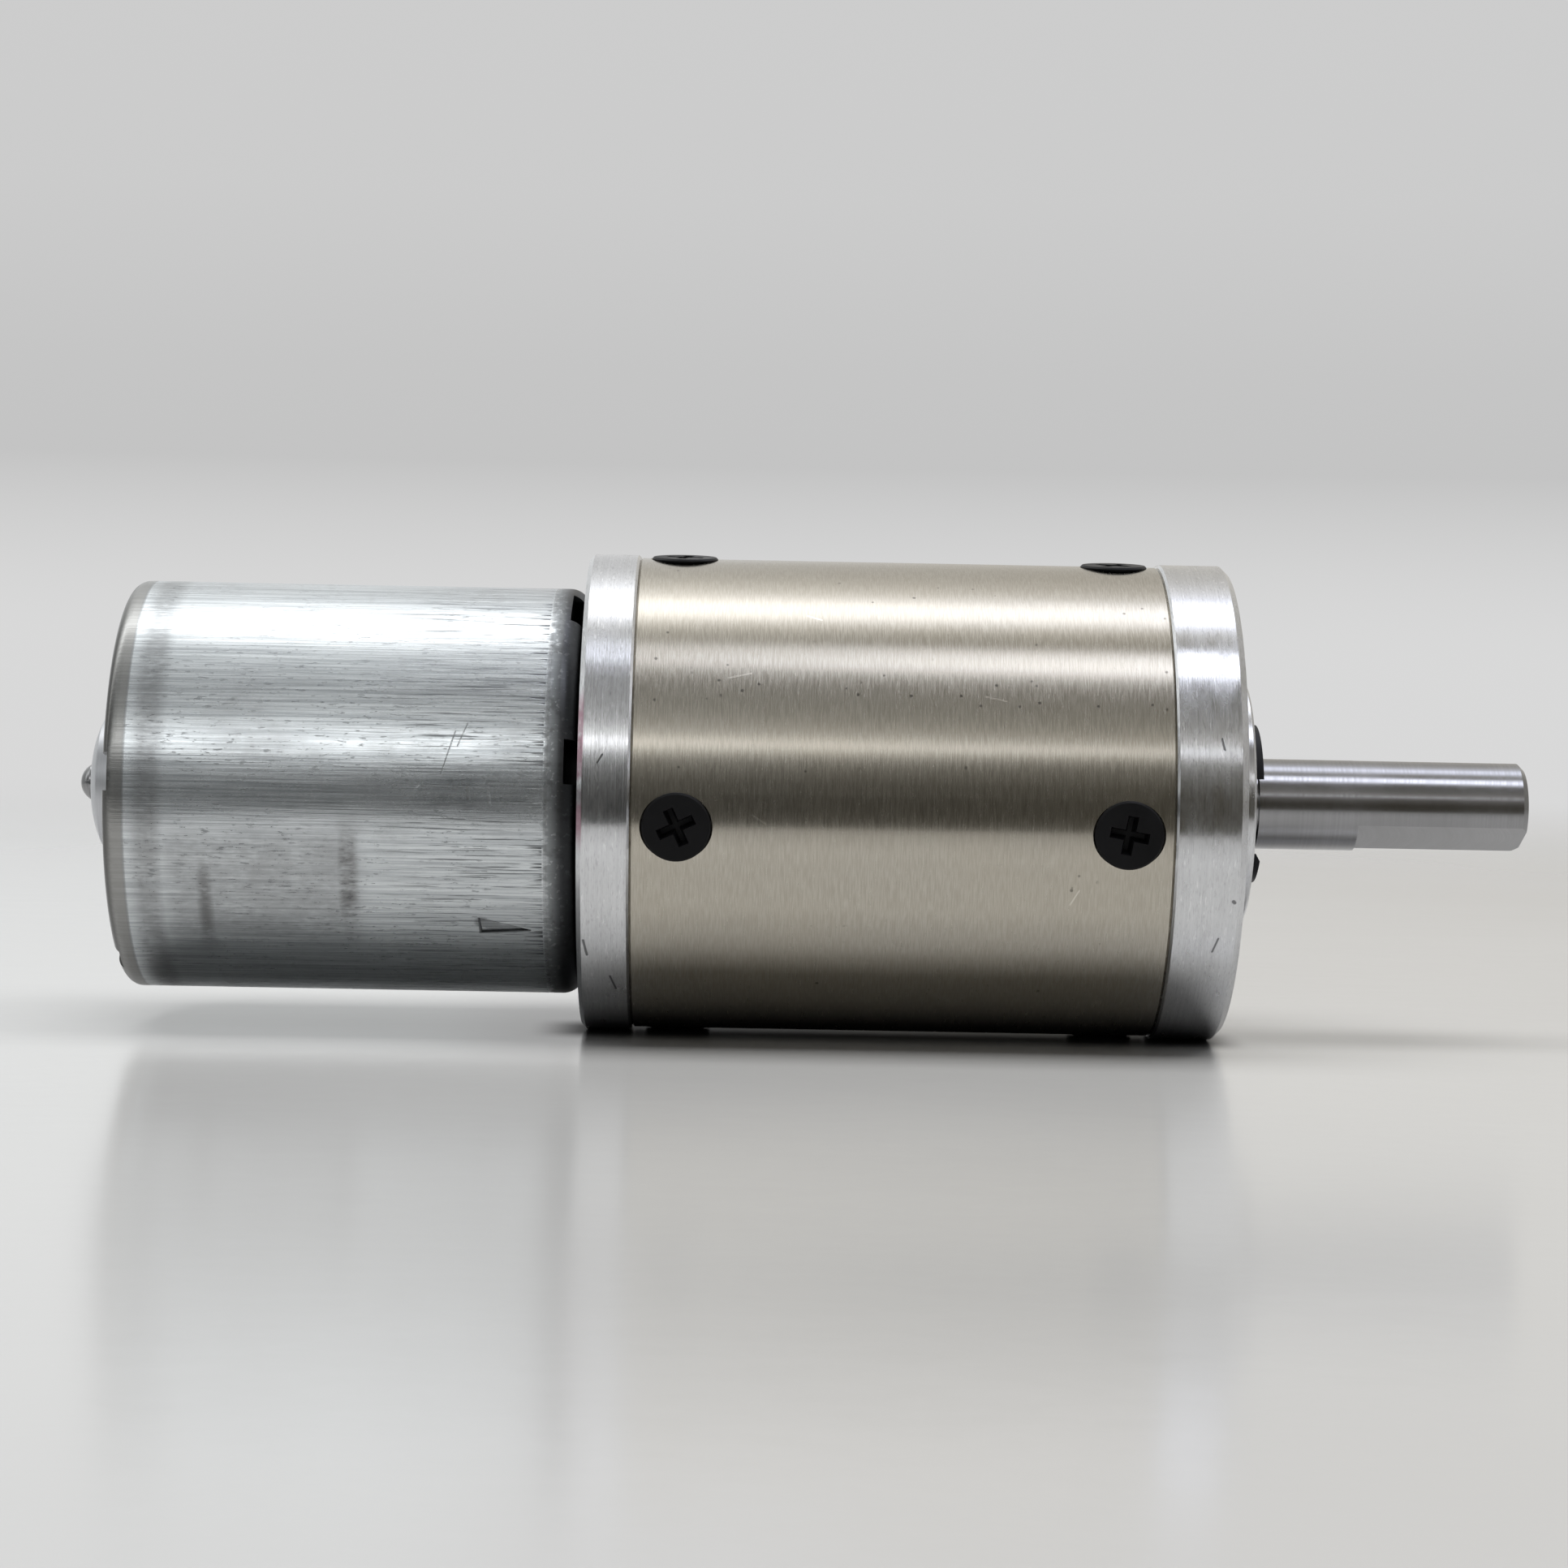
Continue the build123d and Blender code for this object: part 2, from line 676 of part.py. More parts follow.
# ---- Ball bearings of the output shaft ----
for name, bearing_x in (("front_bearing", front_bearing_x), ("rear_bearing", rear_bearing_x)):
    half_w = bearing_w / 2
    track_r = ball_circle_d / 2
    outer_land_r = track_r + bearing_land
    inner_land_r = track_r - bearing_land
    shield_x = half_w - shield_recess

    with BuildPart() as outer_ring:
        with BuildSketch(Plane.XZ):
            with Locations((bearing_x, (outer_land_r + bearing_d / 2) / 2)):
                Rectangle(bearing_w, bearing_d / 2 - outer_land_r)
            with Locations((bearing_x, track_r)):
                Circle(ball_d / 2 + ball_play, mode=Mode.SUBTRACT)
            for side in (-1, 1):
                with Locations((bearing_x + side * half_w, outer_land_r + shield_recess / 2)):
                    Rectangle(2 * shield_recess, shield_recess, mode=Mode.SUBTRACT)
        revolve(axis=Axis.X)
    outer_ring.part.label = f"{name}_outer_ring"
    export_step(outer_ring.part, f"parts/{name}_outer_ring.step")

    with BuildPart() as inner_ring:
        with BuildSketch(Plane.XZ):
            with Locations((bearing_x, (inner_land_r + shaft_r) / 2)):
                Rectangle(bearing_w, inner_land_r - shaft_r)
            with Locations((bearing_x, track_r)):
                Circle(ball_d / 2 + ball_play, mode=Mode.SUBTRACT)
        revolve(axis=Axis.X)
    inner_ring.part.label = f"{name}_inner_ring"
    export_step(inner_ring.part, f"parts/{name}_inner_ring.step")

    with BuildPart(Plane.YZ.offset(bearing_x)) as balls:
        with PolarLocations(track_r, balls_in_bearing):
            Sphere(ball_d / 2)
    balls.part.label = f"{name}_balls"
    export_step(balls.part, f"parts/{name}_balls.step")

    with BuildPart() as cage:
        with BuildSketch(Plane.XZ):
            with Locations((bearing_x, track_r)):
                Rectangle(ball_d + 2 * cage_rim, cage_t)
        revolve(axis=Axis.X)
        for n in range(balls_in_bearing):
            with Locations(facing_out(bearing_x, track_r + lap, 360 * n / balls_in_bearing)):
                Hole(radius=ball_d / 2 + ball_play, depth=2 * lap)
    cage.part.label = f"{name}_cage"
    export_step(cage.part, f"parts/{name}_cage.step")

    with BuildPart() as shields:
        for shield_start in (bearing_x - shield_x - shield_t, bearing_x + shield_x):
            with BuildSketch(Plane.YZ.offset(shield_start)):
                Circle(outer_land_r + shield_recess)
                Circle(inner_land_r + shield_gap, mode=Mode.SUBTRACT)
            extrude(amount=shield_t)
    shields.part.label = f"{name}_shields"
    export_step(shields.part, f"parts/{name}_shields.step")

# ---- Shim and retaining clip in front of the front bearing ----
with BuildPart() as shaft_shim:
    with BuildSketch(Plane.YZ.offset(clip_x - shim_t - clip_play)):
        Circle(shim_d / 2)
        Circle(shaft_r + clip_play, mode=Mode.SUBTRACT)
    extrude(amount=shim_t)
shaft_shim.part.label = "shaft_shim"
export_step(shaft_shim.part, "parts/shaft_shim.step")

with BuildPart() as retaining_clip:
    bow_r = clip_d / 2 - clip_rim
    lug_len = bow_r + clip_lug_lap - groove_r
    with BuildSketch(Plane.YZ.offset(clip_x)):
        Circle(clip_d / 2)
        Circle(bow_r, mode=Mode.SUBTRACT)
        with Locations(Location((0, 0), clip_opening_angle)):
            with Locations((clip_d / 2, 0)):
                Rectangle(clip_d, clip_groove_d + clip_mouth_play, mode=Mode.SUBTRACT)
        for lug_angle in (75, 180, 285):
            with Locations(Location((0, 0), clip_opening_angle + lug_angle)):
                with Locations((groove_r + lug_len / 2, 0)):
                    Rectangle(lug_len, clip_lug_w)
        Circle(groove_r + clip_play, mode=Mode.SUBTRACT)
    extrude(amount=clip_t)
retaining_clip.part.label = "retaining_clip"
export_step(retaining_clip.part, "parts/retaining_clip.step")

# ---- Motor pinion: the first sun, pressed on the motor shaft ----
with BuildPart() as motor_pinion:
    with BuildSketch(Plane.YZ.offset(pinion_x)):
        add(sun_face, rotation=sun_turn(first_stage_angle))
        Circle(motor_shaft_d / 2, mode=Mode.SUBTRACT)
    extrude(amount=sun_bore_end - pinion_x)
motor_pinion.part.label = "motor_pinion"
export_step(motor_pinion.part, "parts/motor_pinion.step")

# ---- Motor can: drawn steel cup, closed at the drive end, its rear rim rolled over the cap ----
with BuildPart() as motor_can:
    with BuildSketch(Plane.XZ):
        with BuildLine():
            Polyline(
                (motor_back, can_bore - rim_lip),
                (motor_back, can_r),
                (input_back, can_r),
                (input_back, boss_d / 2),
                (input_back + boss_h, boss_d / 2),
                (input_back + boss_h, boss_lip_r),
                (front_bush_end, boss_lip_r),
                (front_bush_end, bush_d / 2),
                (can_floor, bush_d / 2),
                (can_floor, can_bore),
                (cap_seat, can_bore),
                (cap_seat, can_bore - rim_lip),
                close=True,
            )
        make_face()
    revolve(axis=Axis.X)
    wide_edges = motor_can.edges().filter_by(GeomType.CIRCLE).sort_by(lambda e: e.radius)[-2:]
    fillet(wide_edges.sort_by(Axis.X)[0], can_rear_radius)
    wide_edges = motor_can.edges().filter_by(GeomType.CIRCLE).sort_by(lambda e: e.radius)[-2:]
    fillet(wide_edges.sort_by(Axis.X)[-1], can_front_radius)
    for start, end in rim_notches:
        with BuildSketch(Plane.YZ.offset(motor_back)):
            add(sector(can_bore - lap, can_r + lap, start, end))
        extrude(amount=rim_lip_t, mode=Mode.SUBTRACT)
    for start, end in front_vents:
        with BuildSketch(Plane.YZ.offset(input_back - vent_back)):
            add(sector(vent_inner_r, can_r + lap, start, end))
        extrude(amount=vent_back, mode=Mode.SUBTRACT)
    with BuildSketch(Plane.YZ.offset(can_floor)):
        with PolarLocations(motor_screw_pcd / 2, 2, start_angle=45 + screw_first_angle):
            Circle(screw_d / 2)
    extrude(amount=can_wall, mode=Mode.SUBTRACT)
    with BuildSketch(facing_out(stamp_x, can_r + lap, stamp_angle)):
        with BuildLine():
            Polyline(*stamp_shape, close=True)
        make_face()
    extrude(amount=-stamp_depth - lap, mode=Mode.SUBTRACT)
motor_can.part.label = "motor_can"
export_step(motor_can.part, "parts/motor_can.step")

# ---- End cap of the motor, with a domed boss round the rear bush ----
with BuildPart() as end_cap:
    with BuildSketch(Plane.XZ):
        with BuildLine():
            Polyline(
                (cap_front, cap_r),
                (cap_seat, cap_r),
                (cap_seat, rear_boss_r + rear_boss_flare),
                (rear_boss_x + rear_boss_side, rear_boss_r),
            )
            ThreePointArc(
                (rear_boss_x + rear_boss_side, rear_boss_r),
                (rear_boss_x + rear_boss_round[1], rear_boss_round[0]),
                (rear_boss_x, rear_boss_lip_r),
            )
            Polyline(
                (rear_boss_x, rear_boss_lip_r),
                (rear_bush_end, rear_boss_lip_r),
                (rear_bush_end, bush_d / 2),
                (cap_front, bush_d / 2),
                (cap_front, cap_r),
            )
        make_face()
    revolve(axis=Axis.X)
    with BuildSketch(Plane.YZ.offset(cap_seat)):
        for angle in terminal_angles:
            with Locations(Location(polar(terminal_r, radians(angle)), angle)):
                Rectangle(insulator_t, insulator_w)
    extrude(amount=cap_t, mode=Mode.SUBTRACT)
end_cap.part.label = "end_cap"
export_step(end_cap.part, "parts/end_cap.step")

with BuildPart() as terminal_insulators:
    with BuildSketch(Plane.YZ.offset(cap_seat - insulator_rim)):
        for angle in terminal_angles:
            with Locations(Location(polar(terminal_r, radians(angle)), angle)):
                Rectangle(insulator_t, insulator_w)
                Rectangle(terminal_t, terminal_w, mode=Mode.SUBTRACT)
    extrude(amount=cap_t + insulator_rim)
terminal_insulators.part.label = "terminal_insulators"
export_step(terminal_insulators.part, "parts/terminal_insulators.step")

with BuildPart() as terminals:
    for angle in terminal_angles:
        with BuildSketch(Plane.YZ.offset(cap_seat - terminal_reach)):
            with Locations(Location(polar(terminal_r, radians(angle)), angle)):
                Rectangle(terminal_t, terminal_w)
        extrude(amount=cap_t + terminal_reach)
        with Locations(facing_out(cap_seat - eyelet_reach, terminal_r + lap, angle)):
            Hole(radius=eyelet_r, depth=2 * lap)
terminals.part.label = "terminals"
export_step(terminals.part, "parts/terminals.step")

# ---- Motor shaft, its bushes and spacers ----
tip_half_angle = asin(motor_shaft_r / rear_tip_radius)
tip_edge_x = rear_tip + rear_tip_radius * (1 - cos(tip_half_angle))
tip_middle = (
    rear_tip + rear_tip_radius * (1 - cos(tip_half_angle / 2)),
    rear_tip_radius * sin(tip_half_angle / 2),
)
with BuildPart() as motor_shaft:
    with BuildSketch(Plane.XZ):
        with BuildLine():
            Polyline(
                (rear_tip, 0),
                (shaft_front, 0),
                (shaft_front, motor_shaft_r),
                (tip_edge_x, motor_shaft_r),
            )
            ThreePointArc((tip_edge_x, motor_shaft_r), tip_middle, (rear_tip, 0))
        make_face()
    revolve(axis=Axis.X)
motor_shaft.part.label = "motor_shaft"
export_step(motor_shaft.part, "parts/motor_shaft.step")

for name, bush_x, side in (("front_bush", front_bush_end, -1), ("rear_bush", rear_bush_end, 1)):
    with BuildPart() as bush:
        with BuildSketch(Plane.YZ.offset(bush_x)):
            Circle(bush_d / 2)
            Circle(motor_shaft_r + bush_play, mode=Mode.SUBTRACT)
        extrude(amount=side * bush_len)
    bush.part.label = name
    export_step(bush.part, f"parts/{name}.step")

# ---- Field magnets and the springs that hold them apart ----
with BuildPart() as field_magnets:
    for middle in (0, 180):
        with BuildSketch(Plane.YZ.offset(magnet_x)):
            add(sector(magnet_r, can_bore, middle - magnet_half_angle, middle + magnet_half_angle))
        extrude(amount=magnet_len)
field_magnets.part.label = "field_magnets"
export_step(field_magnets.part, "parts/field_magnets.step")

with BuildPart() as magnet_springs:
    for middle in (90, 270):
        with BuildSketch(Plane.YZ.offset(magnet_x + magnet_spring_inset)):
            half = magnet_spring_half_angle
            add(sector(can_bore - magnet_spring_t, can_bore, middle - half, middle + half))
        extrude(amount=magnet_len - 2 * magnet_spring_inset)
magnet_springs.part.label = "magnet_springs"
export_step(magnet_springs.part, "parts/magnet_springs.step")

# ---- Armature: laminated core, windings and commutator ----
with BuildPart() as armature_core:
    with BuildSketch(Plane.YZ.offset(core_x)):
        Circle(armature_r)
        Circle(shoe_r, mode=Mode.SUBTRACT)
        with PolarLocations((armature_r + shoe_r) / 2, armature_slots, start_angle=half_slot):
            Rectangle(armature_r - shoe_r + lap, slot_mouth, mode=Mode.SUBTRACT)
        with PolarLocations((armature_hub_r + shoe_r) / 2, armature_slots):
            Rectangle(shoe_r - armature_hub_r + lap, arm_w)
        Circle(armature_hub_r)
        Circle(motor_shaft_r, mode=Mode.SUBTRACT)
    extrude(amount=armature_len)
armature_core.part.label = "armature_core"
export_step(armature_core.part, "parts/armature_core.step")

with BuildPart() as armature_windings:
    for n in range(armature_slots):
        plane = facing_out(core_x + armature_len / 2, coil_inner, 360 * n / armature_slots)
        with BuildSketch(plane):
            RectangleRounded(armature_len + 2 * coil_t, arm_w + 2 * coil_t, coil_corner)
            Rectangle(armature_len + coil_play, arm_w + coil_play, mode=Mode.SUBTRACT)
        extrude(amount=coil_outer - coil_inner)
armature_windings.part.label = "armature_windings"
export_step(armature_windings.part, "parts/armature_windings.step")

with BuildPart() as commutator_hub:
    with BuildSketch(Plane.YZ.offset(commutator_x)):
        Circle(commutator_inner)
        Circle(motor_shaft_r, mode=Mode.SUBTRACT)
    extrude(amount=core_x - commutator_x)
commutator_hub.part.label = "commutator_hub"
export_step(commutator_hub.part, "parts/commutator_hub.step")

with BuildPart() as commutator_segments:
    for n in range(armature_slots):
        start = 360 * n / armature_slots + half_slot - segment_half_angle
        end = start + 2 * segment_half_angle
        with BuildSketch(Plane.YZ.offset(commutator_x)):
            add(sector(commutator_inner, commutator_outer, start, end))
        extrude(amount=commutator_len)
commutator_segments.part.label = "commutator_segments"
export_step(commutator_segments.part, "parts/commutator_segments.step")

with BuildPart() as armature_spacers:
    for start, end in (
        (rear_bush_end + bush_len + spacer_gap, commutator_x),
        (core_x + armature_len, front_bush_end - bush_len - spacer_gap),
    ):
        with BuildSketch(Plane.YZ.offset(start)):
            Circle(spacer_r)
            Circle(motor_shaft_r, mode=Mode.SUBTRACT)
        extrude(amount=end - start)
armature_spacers.part.label = "armature_spacers"
export_step(armature_spacers.part, "parts/armature_spacers.step")

# ---- Brush gear ----
with BuildPart() as brush_plate:
    with BuildSketch(Plane.YZ.offset(cap_front)):
        Circle(can_bore - brush_plate_play)
        Circle(guide_start, mode=Mode.SUBTRACT)
        for angle in terminal_angles:
            with Locations(Location(polar(terminal_r, radians(angle)), angle)):
                Rectangle(insulator_t + brush_play, insulator_w + brush_play, mode=Mode.SUBTRACT)
    extrude(amount=brush_plate_t)
    for angle in brush_angles:
        with BuildSketch(facing_out((cap_front + guide_front) / 2, guide_start, angle)):
            Rectangle(guide_front - cap_front, brush_w + 2 * guide_wall)
        extrude(amount=guide_end - guide_start)
        with BuildSketch(facing_out(brush_x, guide_start, angle)):
            Rectangle(brush_t + brush_play, brush_w + brush_play)
        extrude(amount=guide_end - guide_start, mode=Mode.SUBTRACT)
brush_plate.part.label = "brush_plate"
export_step(brush_plate.part, "parts/brush_plate.step")

with BuildPart() as brushes:
    for angle in brush_angles:
        with BuildSketch(facing_out(brush_x, brush_inner, angle)):
            Rectangle(brush_t, brush_w)
        extrude(amount=brush_outer - brush_inner)
brushes.part.label = "brushes"
export_step(brushes.part, "parts/brushes.step")

with BuildPart() as brush_springs:
    for angle in brush_angles:
        with BuildSketch(facing_out(brush_x, brush_outer, angle)):
            Circle(brush_spring_outer)
            Circle(brush_spring_inner, mode=Mode.SUBTRACT)
        extrude(amount=guide_end - brush_outer)
brush_springs.part.label = "brush_springs"
export_step(brush_springs.part, "parts/brush_springs.step")
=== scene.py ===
import bpy
import json
from math import cos, pi, radians, sin
from mathutils import Matrix, Vector

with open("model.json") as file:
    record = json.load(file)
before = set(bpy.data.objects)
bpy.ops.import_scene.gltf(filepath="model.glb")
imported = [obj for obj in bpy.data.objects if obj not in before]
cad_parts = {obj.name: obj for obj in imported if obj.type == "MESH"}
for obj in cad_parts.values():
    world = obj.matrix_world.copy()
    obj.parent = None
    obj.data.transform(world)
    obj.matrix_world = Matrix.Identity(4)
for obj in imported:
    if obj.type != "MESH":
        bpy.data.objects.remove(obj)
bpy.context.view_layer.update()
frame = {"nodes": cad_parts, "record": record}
scene = bpy.context.scene
scene.view_settings.view_transform = "Standard"
scene.view_settings.look = "None"

MM = 0.001
MICRON = 0.000001
HOUSING_R, FLANGE_R, CAN_R = 20.75, 21.0, 17.9   # millimetres
CAN_REAR, CAN_FRONT = -94.1, -58.75              # where the can's wall is straight, in mm along X


# ---------------------------------------------------------------- node helpers
class Nodes:
    """A node tree, with short calls for the nodes that the materials and the world use."""

    def __init__(self, tree, coordinates):
        self.tree = tree
        tree.nodes.clear()
        split = self.add("ShaderNodeSeparateXYZ")
        self.pos = self.add("ShaderNodeTexCoord").outputs[coordinates]
        self.link(self.pos, split.inputs[0])
        self.x, self.y, self.z = split.outputs

    def add(self, kind, **props):
        node = self.tree.nodes.new(kind)
        for key, value in props.items():
            setattr(node, key, value)
        return node

    def link(self, start, end):
        self.tree.links.new(start, end)

    def put(self, socket, value):
        """Set a socket to a number, or link another socket to it."""
        if isinstance(value, (int, float)):
            socket.default_value = value
        else:
            self.link(value, socket)

    def put_colour(self, socket, value):
        """Set a colour socket to a grey level or a colour, or link another socket to it."""
        if isinstance(value, (int, float)):
            value = (value, value, value)
        if isinstance(value, tuple):
            socket.default_value = (*value, 1)
        else:
            self.link(value, socket)

    def math(self, op, a, b=0.0, clamp=False):
        node = self.add("ShaderNodeMath", operation=op, use_clamp=clamp)
        self.put(node.inputs[0], a)
        self.put(node.inputs[1], b)
        return node.outputs[0]

    def chain(self, op, values):
        result = values[0]
        for value in values[1:]:
            result = self.math(op, result, value)
        return result

    def times(self, *values):
        return self.chain("MULTIPLY", values)

    def total(self, *values):
        return self.chain("ADD", values)

    def minus(self, a, b):
        return self.math("SUBTRACT", a, b)

    def highest(self, *values):
        return self.chain("MAXIMUM", values)

    def length(self, a, b):
        return self.math("SQRT", self.total(self.times(a, a), self.times(b, b)))

    def fade(self, value, low, high, to_low=0.0, to_high=1.0):
        """Smooth step from to_low, where the value is low, to to_high, where it is high."""
        node = self.add("ShaderNodeMapRange", interpolation_type="SMOOTHSTEP")
        self.put(node.inputs["Value"], value)
        limits = {"From Min": low, "From Max": high, "To Min": to_low, "To Max": to_high}
        for key, number in limits.items():
            node.inputs[key].default_value = number
        return node.outputs["Result"]

    def mix(self, factor, first, second):
        node = self.add("ShaderNodeMix", data_type="RGBA")
        self.put(node.inputs["Factor"], factor)
        self.put_colour(node.inputs[6], first)
        self.put_colour(node.inputs[7], second)
        return node.outputs[2]

    def mix_shader(self, factor, first, second):
        node = self.add("ShaderNodeMixShader")
        for socket, value in zip(node.inputs, (factor, first, second)):
            self.link(value, socket)
        return node.outputs[0]

    def ramp(self, value, stops):
        """Level by value: the stops are (value from 0 to 1, level)."""
        peak = max(level for place, level in stops)
        node = self.add("ShaderNodeValToRGB")
        elements = node.color_ramp.elements
        while len(elements) < len(stops):
            elements.new(0.5)
        for element, (place, level) in zip(elements, stops):
            element.position = place
            element.color = (level / peak, level / peak, level / peak, 1)
        self.put(node.inputs[0], value)
        return self.times(node.outputs["Color"], peak)


class Finish(Nodes):
    """A material on the Principled shader, with its patterns fixed to the part."""

    def __init__(self, name):
        self.mat = bpy.data.materials.new(name)
        self.mat.use_nodes = True
        super().__init__(self.mat.node_tree, "Object")
        self.out = self.add("ShaderNodeOutputMaterial")
        self.bsdf = self.add("ShaderNodeBsdfPrincipled")
        self.link(self.bsdf.outputs[0], self.out.inputs["Surface"])

    # places on the part
    def radius(self):
        """Metres from the axis."""
        return self.length(self.y, self.z)

    def unrolled(self, r):
        """Millimetres along X, degrees round it, and millimetres round it at radius r.

        Both count from the side that faces the camera, and up is positive.
        """
        turn = self.math("ARCTAN2", self.z, self.times(self.y, -1))
        return self.times(self.x, 1000), self.times(turn, 180 / pi), self.times(turn, r)

    # patterns
    def noise(self, vector, per_unit, detail, rough):
        node = self.add("ShaderNodeTexNoise")
        self.link(vector, node.inputs["Vector"])
        settings = {"Scale": per_unit, "Detail": detail, "Roughness": rough}
        for key, number in settings.items():
            node.inputs[key].default_value = number
        return node.outputs["Fac"]

    def scaled_noise(self, x, fx, fyz, detail, rough):
        vector = self.add("ShaderNodeCombineXYZ")
        for socket, value, scale in zip(vector.inputs, (x, self.y, self.z), (fx, fyz, fyz)):
            self.link(self.times(value, scale), socket)
        return self.noise(vector.outputs[0], 1, detail, rough)

    def stretched(self, fx, fyz, detail, rough):
        """Noise with so many cells per metre along the axis and across it."""
        return self.scaled_noise(self.x, fx, fyz, detail, rough)

    def turned(self, per_metre):
        """Lines round the axis, on faces and on cylinders alike."""
        return self.scaled_noise(self.total(self.x, self.radius()), per_metre, 60, 2, 0.6)

    def dots(self, per_metre, core, edge):
        """1 on small round dots, one to each cell, and 0 from their edges."""
        node = self.add("ShaderNodeTexVoronoi")
        self.link(self.pos, node.inputs["Vector"])
        node.inputs["Scale"].default_value = per_metre
        return self.fade(node.outputs["Distance"], core, edge, 1, 0)

    def band(self, value, low, high, soft):
        """1 between low and high, 0 outside, with soft edges."""
        rise = self.fade(value, low - soft, low + soft)
        return self.times(rise, self.fade(value, high - soft, high + soft, 1, 0))

    def scratch(self, along, arc, start, end, width):
        """1 on a thin straight line between two points of the unrolled surface, in mm."""
        (x0, y0), (x1, y1) = start, end
        dx, dy = x1 - x0, y1 - y0
        size = dx * dx + dy * dy
        from_x, from_y = self.minus(along, x0), self.minus(arc, y0)
        share_x, share_y = self.times(from_x, dx / size), self.times(from_y, dy / size)
        share = self.math("ADD", share_x, share_y, clamp=True)
        away_x = self.minus(from_x, self.times(share, dx))
        away_y = self.minus(from_y, self.times(share, dy))
        return self.fade(self.length(away_x, away_y), width * 0.5, width, 1, 0)

    def scratches(self, along, arc, rows):
        """1 on any of the lines, whose rows are (start, end, width)."""
        return self.highest(*[self.scratch(along, arc, *row) for row in rows])

    # shading
    def cover(self, colour, *coats):
        """The colour with coats laid over it in turn, each a mask and a colour."""
        for mask, coat in coats:
            colour = self.mix(mask, colour, coat)
        return colour

    def brushed(self, amount, round_axis=True):
        """Stretch reflections across lines that run round the X axis, or along it."""
        node = self.add("ShaderNodeTangent", direction_type="RADIAL", axis="X")
        self.link(node.outputs[0], self.bsdf.inputs["Tangent"])
        self.bsdf.inputs["Anisotropic"].default_value = amount
        self.bsdf.inputs["Anisotropic Rotation"].default_value = 0.25 if round_axis else 0.0

    def finish(self, colour, rough, relief, metallic=1.0, **fixed):
        """Wire the shader up. The relief is (height, strength, depth in metres)."""
        height, strength, depth = relief
        bump = self.add("ShaderNodeBump")
        bump.inputs["Strength"].default_value = strength
        bump.inputs["Distance"].default_value = depth
        self.link(height, bump.inputs["Height"])
        self.link(bump.outputs["Normal"], self.bsdf.inputs["Normal"])
        self.put_colour(self.bsdf.inputs["Base Color"], colour)
        self.put(self.bsdf.inputs["Roughness"], rough)
        self.bsdf.inputs["Metallic"].default_value = metallic
        for key, value in fixed.items():
            self.bsdf.inputs[key].default_value = value
        return self.mat


# ---------------------------------------------------------------- finishes
def housing_nickel():
    """Champagne nickel plate, brushed round the axis, with specks and a few light scratches."""
    g = Finish("housing_nickel")
    along, turn, arc = g.unrolled(HOUSING_R)
    deep, pale, groove = (0.44, 0.41, 0.35), (0.53, 0.50, 0.435), (0.39, 0.355, 0.295)
    tarnish, dirt, bare = (0.50, 0.455, 0.37), (0.05, 0.045, 0.04), (0.80, 0.76, 0.68)

    fine = g.stretched(11000, 800, 2, 0.5)
    short = g.stretched(7000, 560, 2, 0.6)
    cloud = g.noise(g.pos, 60, 3, 0.5)
    grain = g.noise(g.pos, 5200, 1, 0.5)
    specks = g.times(g.dots(620, 0.06, 0.12), g.fade(g.noise(g.pos, 260, 1, 0.5), 0.52, 0.6))
    row_of_specks = g.times(g.dots(760, 0.07, 0.13), g.band(turn, 23, 31, 2))
    scuffs = g.scratches(along, arc, [
        ((-43.5, 10.9), (-41.6, 11.4), 0.10),
        ((-41.3, -0.9), (-40.2, -1.6), 0.10),
        ((-36.9, 17.9), (-35.7, 17.4), 0.12),
        ((-22.0, 9.6), (-20.2, 9.2), 0.09),
        ((-14.6, -8.2), (-13.9, -6.9), 0.09),
    ])
    colour = g.cover(
        g.mix(g.fade(fine, 0.3, 0.7), deep, pale),
        (g.fade(short, 0.45, 0.75, 0, 0.22), groove),
        (g.fade(cloud, 0.3, 0.7, 0, 0.3), tarnish),
        (g.highest(g.times(specks, 0.6), g.times(row_of_specks, 0.65)), dirt),
        (g.times(scuffs, 0.5), bare),
    )
    rough = g.total(g.fade(fine, 0.3, 0.7, 0.22, 0.26), g.fade(short, 0.3, 0.7, -0.01, 0.02))
    height = g.total(g.times(fine, 0.5), g.times(short, 0.5), g.times(grain, 0.12))
    g.brushed(0.88)
    return g.finish(colour, rough, (height, 0.20, 20 * MICRON))


